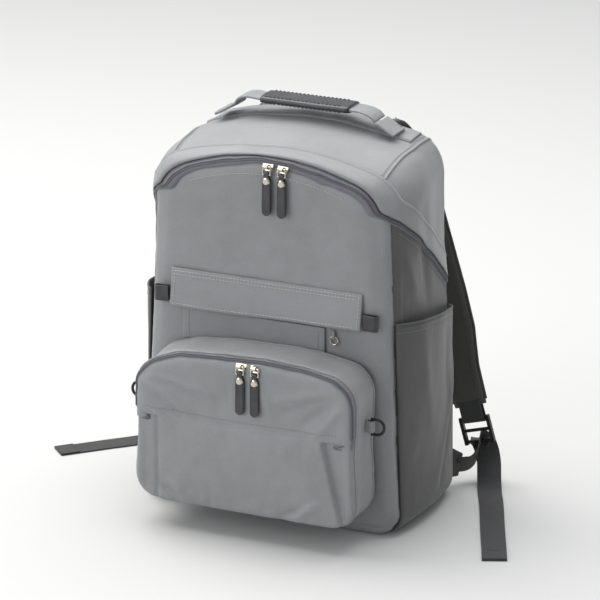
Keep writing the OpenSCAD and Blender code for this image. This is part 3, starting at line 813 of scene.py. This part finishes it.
def shape_pouch(obj):
    p, n = points_of(obj), normals_of(obj)
    x, y, z = p.T
    d = y - pouch_front_y
    front = step(-n[:, 1], 0.55, 0.9)
    top = step(n[:, 2], 0.5, 0.9) * (d > 5)
    side = step(np.abs(n[:, 0]), 0.5, 0.9)
    hem = hem_z + 2.5 * (x / 115) ** 2 - 1.0
    lower = 1 - step(z, hem - 0.9, hem + 0.9)
    rim = np.minimum(pouch_half_w - np.abs(x), z - pouch_lift)
    inside = step(x, -93.2, -90.6) * (1 - step(x - pleat_right(z), -1.2, 1.4))
    belly = np.clip((x + 92) / 190, 0, 1) * (1 - np.clip((x + 92) / 190, 0, 1)) * 4
    out = front * (1 - lower) * 2.0
    out += front * lower * inside * (2.2 + 3.0 * belly * np.sin(np.pi * np.clip((z - 22) / 112, 0, 1)))
    out -= front * lower * (1 - inside) * 1.6 * step(rim, 4, 14)
    out -= front * lower * 1.5 * bell(x + 95.0, 2.6) + front * lower * 2.2 * bell(x - pleat_right(z) - 4.0,
            3.4)
    out += front * step(rim, 2, 18) * (1.2 * wavy(p, (46, 40, 60), 21) + 0.5 * wavy(p, (16, 30, 22), 22))
    out += front * lower * step(rim, 1, 8) * 0.9 * wavy(p, (9, 30, 20), 23) * bell(z - pouch_lift - 6, 16)
    fy = pouch_front_y
    for a, b, w, h in (((-108, fy, 158), (-60, fy, 128), 5, 2.4), ((-104, fy, 150), (-66, fy, 122), 4, -2.2),
                       ((-112, fy, 140), (-80, fy, 112), 5, 2.0), ((-98, fy, 164), (-30, fy, 146), 5, 1.8),
                       ((-92, fy, 160), (-40, fy, 138), 4, -1.8), ((100, fy, 160), (62, fy, 128), 5, -2.2),
                       ((106, fy, 152), (80, fy, 122), 5, 2.2), ((92, fy, 166), (30, fy, 150), 5, 1.8),
                       ((88, fy, 160), (44, fy, 140), 4, -1.6), ((20, fy, 162), (34, fy, 130), 6, 1.6),
                       ((-92, fy, 48), (-70, fy, 30), 4, -3.0), ((-80, fy, 52), (-56, fy, 31), 5, 2.4),
                       ((60, fy, 34), (84, fy, 52), 5, 2.6), ((40, fy, 30), (66, fy, 44), 4, -2.4)):
        out += front * fold(p, a, b, w, h)
    out += top * (1.5 * wavy(p, (40, 24, 30), 24) - 2.0 * bell(d - 30, 14) * (1 - bell(x, 40)))
    out += side * (1.3 * wavy(p, (30, 26, 40), 25) - 1.6 * bell(z - 100, 26))
    out -= 0.9 * bell(d - 9, 1.8) + 0.9 * bell(pouch_d - 4 - d, 2.0)
    out += 0.5 * bell(np.minimum(np.abs(d - 9), np.abs(pouch_d - 4 - d)), 14) * wavy(p, (11, 14, 11), 26)
    moved = p + n * out[:, None]
    droop = step(-x, 60, 118) * step(z, 120, 178)
    moved[:, 2] -= 9.0 * droop
    moved[:, 2] += 3.5 * bell(x - 20, 60) * step(z, 120, 178)
    return moved


pouch_cloth = loft_mesh("pouch_cloth", [pouch_ring(d) for d in np.unique(np.concatenate([
    13 * (1 - np.cos(np.linspace(0, math.pi / 2, 12))), np.linspace(13, pouch_d - 5, 8),
    pouch_d - 5 * (1 - np.cos(np.linspace(0, math.pi / 2, 6)))]))], 1.8, smooth=3)
cut_planes(pouch_cloth, [((0, pouch_front_y + 9, 0), (0, 1, 0)), ((0, pouch_back_y - 4, 0), (0, 1, 0))])
set_points(pouch_cloth, shape_pouch(pouch_cloth))


def pouch_label(c):
    return np.where(c[:, 1] < pouch_front_y + 9, 1, np.where(c[:, 1] > pouch_back_y - 4, 3, 2))


pouch_parts = split_faces(pouch_cloth, pouch_label, {
    1: ("pouch_front_cloth", SHELL, "shell_fabric"), 2: ("pouch_side_cloth", SHELL, "side_fabric"),
    3: ("pouch_back_cloth", SHELL, "shell_fabric")})
for label, nodes in ((1, ["pouch_front", "pouch_front_pocket"]), (2, ["pouch_gusset"]), (3, ["pouch_back"])):
    thicken(pouch_parts[label], 1.3)
    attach(pouch_parts[label], "pouch")
    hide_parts(*nodes)


def round_pouch(p):
    return np.degrees(np.arctan2(p[:, 0], p[:, 2] - 100))


def pouch_line(d, edge=172, count=420):
    """A line round the pouch at one depth, from under its left side over the top to under its right side."""
    return even_line(pouch_cloth, lambda p: p[:, 1] - (pouch_front_y + d), lambda p: p[:, 2] > 0, round_pouch,
                     np.linspace(-edge, edge, count), blur=2)


pouch_tape_lines = [pouch_line(d, 84, 260) for d in (0.9, 2.0, 3.4, 5.4)]
pouch_tape = strip_on("pouch_tape", pouch_tape_lines, (0.4, 0.8, 0.9, 0.5), 0.6, TAPE, "pouch")
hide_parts("pouch_zip")
coil("pouch_coil", *pouch_line(2.4, 84, 300), 1.2, "pouch")
for d, tag in ((9.0, "front"), (pouch_d - 4, "back")):
    line, normal = pouch_line(d)
    tube("pouch_piping_" + tag, line + normal * 0.5, 1.2, PIPING, "pouch")
line, normal = pouch_line(7.0, 84, 300)
stitches("pouch_top_stitch", line + normal * 0.3, normal, THREAD, "pouch")


def front_line(obj, height, x0, x1, count=200):
    """A line across the front of a cloth at a height that depends on x."""
    return even_line(obj, lambda p: p[:, 2] - height(p[:, 0]),
                     lambda p: (p[:, 1] < pouch_front_y + 6), lambda p: p[:, 0], np.linspace(x0, x1, count),
                     blur=2)


line, normal = front_line(pouch_cloth, lambda x: hem_z + 2.5 * (x / 115) ** 2 + 7.5, -106, 106)
stitches("pouch_hem_stitch", line + normal * 0.25, normal, THREAD, "pouch")
bpy.data.objects.remove(pouch_cloth)


# ---- band, hanging panel and leather loops ----
def sheet_grid(x0, x1, z0, z1, nx, nz, place):
    xs, zs = np.linspace(x0, x1, nx), np.linspace(z0, z1, nz)
    p = np.array([[x, 0, z] for z in zs for x in xs])
    p[:, 1] = place(p)
    return p


def band_y(p):
    lift = (band_hi[2] - p[:, 2]) / (band_hi[2] - band_lo[2])
    wave = 0.9 * np.sin(p[:, 0] / 19 + 1.0) * lift ** 2 + 0.5 * wavy(p, (30, 10, 40), 31) * lift
    return front_y - 0.9 - 6.2 * lift + wave


band_points = sheet_grid(band_lo[0], band_hi[0], band_lo[2], band_hi[2], 120, 22, band_y)
band_points[:, 2] += 1.2 * np.sin(band_points[:, 0] / 55) * (band_hi[2] - band_points[:, 2]) / 38
band = make_object("band_cloth", band_points, grid_faces(22, 120), SHELL, None)
thicken(band, 1.9, offset=0.0)
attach(band, "band")
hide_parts("band_flap")
rows = band_points.reshape(22, 120, 3)
facing = np.array([0, -1.0, 0])
for share, tag in ((0.93, "top_a"), (0.84, "top_b"), (0.085, "low")):
    i = share * 21
    line = rows[int(i)] * (1 - i % 1) + rows[min(21, int(i) + 1)] * (i % 1) + facing * 1.1
    stitches("band_stitch_" + tag, line[2:-2], same(facing, line[2:-2]), PALE_THREAD, "band",
             length=2.8, gap=1.0, radius=0.38)
for column, tag in ((2, "left"), (117, "right")):
    line = rows[1:-1, column] + facing * 1.1
    stitches("band_end_" + tag, line, same(facing, line), PALE_THREAD, "band", radius=0.38)

panel_lo, panel_hi = node_mm["hanging_panel"]
panel_y = lambda p: np.full(len(p), (panel_lo[1] + panel_hi[1]) / 2) + 0.5 * wavy(p, (30, 10, 24), 32)
panel_points = sheet_grid(panel_lo[0], panel_hi[0], panel_lo[2], panel_hi[2], 90, 24, panel_y)
hanging = make_object("hanging_cloth", panel_points, grid_faces(24, 90), SHELL, None)
thicken(hanging, 1.2, offset=0.0)
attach(hanging, "pouch")
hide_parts("hanging_panel")
rows = panel_points.reshape(24, 90, 3)
for column, tag in ((4, "left"), (85, "right")):
    line = rows[:, column] + facing * 0.7
    stitches("hanging_stitch_" + tag, line, same(facing, line), THREAD, "pouch")

for sign, tag in ((1, "right"), (-1, "left")):
    lo, hi = node_mm["side_loop_" + tag]
    inner, outer = (lo[0], hi[0]) if sign > 0 else (hi[0], lo[0])
    y0, y1, zc = hi[1] - 0.8, lo[1] + 0.8, (lo[2] + hi[2]) / 2
    turn = [[outer - sign * (3.2 - 3.2 * math.cos(a)) - sign * 0.4, mix(y0, y1, 0.5 + 0.5 * math.sin(a)), zc]
            for a in np.linspace(-math.pi / 2, math.pi / 2, 9)]
    path = smooth_path([[inner, y0, zc]] + turn + [[inner + sign * 0.2, y1 + 1.2, zc]], 40)
    loop = sweep("leather_loop_" + tag, path, (0, 0, 1), oval(hi[2] - lo[2], 1.5, 8, 32), LEATHER, "pack")
    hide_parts("side_loop_" + tag)


# ---- carry handle ----
grip_lo, grip_hi = node_mm["handle_grip"]
strap_lo, strap_hi = node_mm["handle_strap"]
handle_y = (grip_lo[1] + grip_hi[1]) / 2
grip_z = (grip_lo[2] + grip_hi[2]) / 2
arch = smooth_path([[strap_lo[0] + 1.2, handle_y, strap_lo[2] + 1.4], [-73.5, handle_y, grip_z - 2.4],
        [-64, handle_y, grip_z + 1.4],
                    [-46, handle_y, grip_z + 0.8], [0, handle_y, grip_z + 0.6], [46, handle_y, grip_z + 0.4],
                    [62, handle_y, grip_z - 0.6], [72, handle_y, grip_z - 4],
                    [strap_hi[0] - 1.2, handle_y, strap_lo[2] + 1.4]], 80)
handle = sweep("handle_cloth", arch, (0, 1, 0), oval(26, 3.0, 5), SHELL, "handle")
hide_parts("handle_strap")
grip_path = arch[(arch[:, 0] > grip_lo[0]) & (arch[:, 0] < grip_hi[0])]
ends = np.clip(np.minimum(grip_path[:, 0] - grip_lo[0], grip_hi[0] - grip_path[:, 0]) / 3 + 0.86, 0, 1)
grip = sweep("grip_leather", grip_path, (0, 1, 0), oval(grip_hi[1] - grip_lo[1], 8, 3.2, 40), LEATHER,
        "handle",
             scale=np.stack([ends, ends], axis=1))
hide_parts("handle_grip")
for y, tag in ((-12.2, "front"), (12.2, "back")):
    for z, layer in ((3.5, "over"), (-3.5, "under")):
        line = grip_path[2:-2] + np.array([0, y, z])
        up = same(np.array([0, 0, math.copysign(1.0, z)]), line)
        stitches("grip_stitch_%s_%s" % (tag, layer), line, up, DARK_THREAD, "handle", length=3.0,
                gap=1.4, radius=0.4)
for sign, tag in ((-1, "left"), (1, "right")):
    end = smooth_path([[sign * 98, handle_y, 391.0], [sign * 92, handle_y, 394.0],
            [sign * 85, handle_y, 398.2],
                       [sign * 79.2, handle_y, 401.6]], 24)
    tab = sweep("handle_end_" + tag, end, (0, 1, 0), oval(29, 3.4, 5), SHELL, "pack")
    if sign > 0:
        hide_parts("handle_ends")
    line = end[2:12] + np.array([0, 0, 2.0])
    for y in (-11.5, 11.5):
        stitches("handle_end_stitch_%s_%d" % (tag, y > 0), line + np.array([0, y, 0]),
                same(np.array([0, 0, 1.0]), line),
                 THREAD, "pack")


# ---- leather pulls ----
def make_pull(node, body_name):
    lo, hi = node_mm[node]
    x, y = (lo[0] + hi[0]) / 2, (lo[1] + hi[1]) / 2
    width, thick = hi[0] - lo[0], hi[1] - lo[1]
    z = np.concatenate([np.linspace(hi[2] + 0.8, hi[2] - 8, 10), np.linspace(hi[2] - 9, lo[2] + 4, 14),
                        lo[2] + 4 * (1 - np.sin(np.linspace(0.12, math.pi / 2, 7)))])
    from_top, from_end = hi[2] - z, z - lo[2]
    neck = 0.6 + 0.4 * step(from_top, 5.0, 9.0)
    end = np.sqrt(np.clip(1 - (1 - np.clip(from_end / 4, 0.04, 1)) ** 2, 0.02, 1))
    plump = np.where(from_top < 2.4, 0.75 + 0.35 * np.sin(np.clip(from_top + 0.8, 0, 3.2)), 1.0)
    dent = 1 - 0.12 * bell(from_top - 12, 5)
    path = np.stack([np.full(len(z), x), y + 0.35 * np.sin(from_top / 9), z], axis=1)
    pull = sweep(node + "_leather", path, (1, 0, 0), oval(width, thick + 0.3, 7, 36), LEATHER, body_name,
                 scale=np.stack([neck * end, plump * dent], axis=1))
    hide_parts(node)
    for sx in (-1, 1):
        line = np.array([[x + sx * (width / 2 - 1.3), y - thick / 2 - 0.2,
                zz] for zz in np.linspace(hi[2] - 12, lo[2] + 5, 20)])
        stitches(node + "_stitch_%d" % (sx > 0), line, same(facing, line), DARK_THREAD, body_name,
                 length=1.8, gap=1.0, radius=0.22)


make_pull("main_pull_left", "pull_left")
make_pull("main_pull_right", "pull_right")
make_pull("pouch_pull_left", "small_pull_left")
make_pull("pouch_pull_right", "small_pull_right")


# ---- shoulder straps, loops, wings and webbing ----
strap_route = [[50, 64, 380], [54, 82, 376], [62, 98, 352], [74, 105, 310], [90, 107, 255], [108, 108, 195],
               [126, 109, 135], [140, 110, 92], [144, 110, 80]]
strap_shares = [0.82, 0.86, 0.95, 1, 1, 1, 0.95, 0.7, 0.6]
strap_w = 60.0
strap_side = np.array([1, 0, 0.28])
lock_at, lock_tilt = np.array([148, 110, 66.0]), math.radians(16)
tail_routes = {
    "right": [[155, 116.5, 42], [158, 118, 34], [161, 117, 26], [164, 113, 18], [167, 106, 11],
            [170, 99, 5.5],
              [174, 90, 2.2], [179, 78, 1], [186, 63, 1], [194, 45, 1], [203, 24, 1], [213, 0, 1],
              [224, -26, 1],
              [236, -54, 1], [250, -87, 1]],
    "left": [[-155, 116.5, 42], [-157, 119, 34], [-159, 120.5, 26], [-162, 120.5, 18], [-165, 118, 11],
             [-169, 114, 5.5], [-174, 109, 2.2], [-181, 101, 1], [-190, 91, 1], [-200, 80, 1], [-212, 67, 1],
             [-226, 52, 1], [-242, 36, 1], [-260, 17, 1], [-280, -4, 1]]}
tail_side = {"right": (0.911, 0.412, 0), "left": (0.73, -0.68, 0)}


def at_lock(sign, points):
    """Points in the adjuster's own frame, whose -Z runs down the strap."""
    c, s = math.cos(lock_tilt), math.sin(lock_tilt)
    turned = [[x * c - z * s, y, x * s + z * c] for x, y, z in points]
    return (np.array(turned) + lock_at) * np.array([sign, 1, 1])


for sign, tag in ((1, "right"), (-1, "left")):
    flip = np.array([sign, 1, 1])
    strap_body = "strap_" + tag
    route = smooth_path(np.array(strap_route) * flip, 70)
    share = np.interp(np.linspace(0, 1, 70), np.linspace(0, 1, len(strap_shares)), strap_shares)
    puff = 1 + 0.06 * wavy(route, (20, 20, 22), 41)
    ends = np.clip(np.minimum(np.arange(70), 69 - np.arange(70)) / 3 + 0.4, 0, 1)
    pad = sweep("strap_pad_" + tag, route, strap_side * flip, oval(strap_w, 10, 3, 40), PAD, strap_body,
                scale=np.stack([share, puff * ends], axis=1))
    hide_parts("shoulder_strap_" + tag)
    t, s, n = path_frames(route, strap_side * flip)
    for edge in (-1, 1):
        rim = route + s * (edge * strap_w / 2 * share)[:, None]
        tube("strap_binding_%s_%d" % (tag, edge > 0), rim[1:-1], 1.9, WEBBING, strap_body)
        for face in (-1, 1):
            line = (route + s * (edge * (strap_w / 2 * share - 6))[:, None] + n * face * 4.9)[3:-3]
            stitches("strap_stitch_%s_%d%d" % (tag, edge > 0, face > 0), line, (n * face)[3:-3],
                    DARK_THREAD, strap_body,
                     length=3.2, gap=1.6, radius=0.4)
    hold = smooth_path(at_lock(sign, [[0, -3.2, 22], [0, -3.3, 12], [0, -3.2, 2], [0, -2.2, -2.3],
            [0, 0, -3.3],
                                      [0, 2.2, -2.3], [0, 3.2, 2], [0, 3.3, 12], [0, 3.2, 22]]), 48)
    loop = sweep("strap_end_" + tag, hold, (sign, 0, math.tan(lock_tilt) * 1.0), oval(24.5, 1.3, 8, 28),
            WEBBING, strap_body)
    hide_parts("strap_loop_" + tag)
    wing = smooth_path(np.array([[119, 79.6, 26], [126, 81.5, 24.5], [134, 86, 22.6],
            [141, 90.5, 21]]) * flip, 24)
    # the anchor wing uses the darker copy of the shell fabric, painted shade
    wing_cloth = sweep("anchor_cloth_" + tag, wing, (0, 0, 1), oval(40, 2.6, 6, 32), SHADE_PAINTED_SHELL, "pack",
                       scale=np.stack([np.linspace(1.08, 0.62, 24), np.ones(24)], axis=1))
    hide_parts("anchor_wing_" + tag)
    low = smooth_path(np.array([[137, 88.5, 21.5], [142.5, 92, 21], [148, 97, 22], [152, 101.5, 27],
            [154.2, 106.5, 36],
                                [154.4, 109, 44], [153.6, 112.6, 44.5], [154.4, 114.4, 38]]) * flip, 40)
    under = sweep("lower_webbing_cloth_" + tag, low, (0.3 * sign, -0.4, 0.86), oval(23.5, 1.5, 8, 28),
            WEBBING, None)
    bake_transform(under)
    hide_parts("lower_webbing_" + tag)
    tail_path = smooth_path(tail_routes[tag], 90)
    tail = sweep("tail_" + tag, tail_path, tail_side[tag], oval(tail_width, 1.6, 9, 36), WEBBING, None)
    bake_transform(tail)
    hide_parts("webbing_tail_" + tag)
    s = path_frames(tail_path[-12:], tail_side[tag])[1]
    hem = sweep("tail_hem_" + tag, tail_path[-10:] + np.array([0, 0, 1.2]), tail_side[tag],
            oval(tail_width - 0.4, 1.2, 9, 32),
                WEBBING, "pack")
    across = np.array([tail_path[-9] + s[0] * u + np.array([0, 0, 1.9]) for u in np.linspace(-10.5, 10.5,
            12)])
    bar = stitches("tail_bar_" + tag, across, same(np.array([0, 0, 1.0]), across), DARK_THREAD, "pack")


# ---- fabric loops of the D-rings ----
for sign, tag in ((1, "right"), (-1, "left")):
    lo, hi = node_mm["ring_tab_" + tag]
    inner, outer = (lo[0], hi[0]) if sign > 0 else (hi[0], lo[0])
    yc, zc = (lo[1] + hi[1]) / 2, (lo[2] + hi[2]) / 2
    path = smooth_path([[inner - sign * 0.5, yc - 2.7, zc], [outer - sign * 3, yc - 2.7, zc],
            [outer - sign * 0.6, yc, zc],
                        [outer - sign * 3, yc + 2.7, zc], [inner - sign * 0.5, yc + 2.7, zc]], 30)
    tab = sweep("ring_cloth_" + tag, path, (0, 0, 1), oval(hi[2] - lo[2], 1.2, 6, 28), SHELL, "pouch")
    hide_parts("ring_tab_" + tag)


# ---- finishes of the CAD pieces that stay ----
finish = {"nickel": NICKEL, "dark_metal": ENAMEL, "plastic": ACETAL, "board": BOARD, "foam": FOAM,
        "lining": LINING,
          "shell_fabric": SHELL, "side_fabric": SHADE_PAINTED_SHELL, "leather": LEATHER, "webbing": WEBBING,
          "zip_tape": TAPE,
          "piping": PIPING, "strap_pad": PAD}
for part in frame["record"]["subparts"]:
    for place in frame["nodes"][part["node"]].material_slots:
        place.material = finish[part["material_slot"]]
